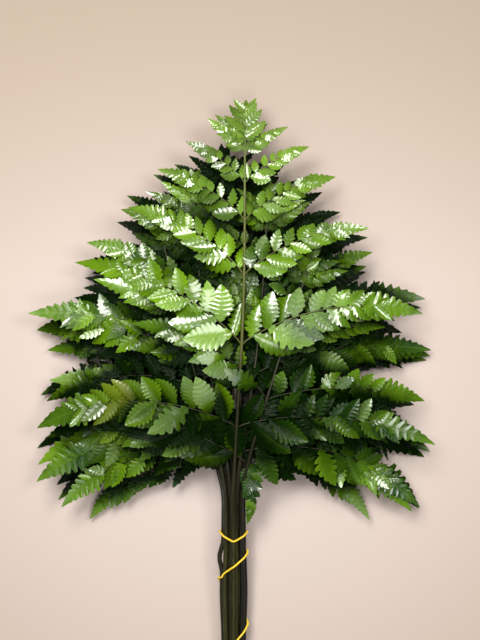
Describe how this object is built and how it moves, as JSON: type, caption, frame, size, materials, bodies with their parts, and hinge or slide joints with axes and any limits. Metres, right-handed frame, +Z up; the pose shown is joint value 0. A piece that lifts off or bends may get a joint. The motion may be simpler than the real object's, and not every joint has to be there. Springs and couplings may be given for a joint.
{
  "type": "leatherleaf fern bunch",
  "caption": "Florist's bunch of leatherleaf fern lying down, its cut fronds fanned out from stems tied with a yellow elastic; filler greenery for a vase or bouquet.",
  "frame": {"origin": "middle of the bunch's footprint, on the surface that it lies on", "axes": "+Y from the cut ends to the frond tips, +X to the right as seen from above, +Z up"},
  "size_m": [0.4058, 0.6012, 0.0817],
  "materials": {
    "fern_leaf": "satin",
    "elastic": "satin"
  },
  "bodies": {
    "root": {"frond_01": "fern_leaf", "frond_02": "fern_leaf", "frond_03": "fern_leaf", "frond_04": "fern_leaf", "frond_05": "fern_leaf", "frond_06": "fern_leaf", "frond_07": "fern_leaf", "frond_08": "fern_leaf", "frond_09": "fern_leaf", "frond_10": "fern_leaf", "frond_11": "fern_leaf", "frond_12": "fern_leaf", "frond_13": "fern_leaf", "frond_14": "fern_leaf", "frond_15": "fern_leaf", "elastic_band": "elastic"}
  },
  "joints": []
}
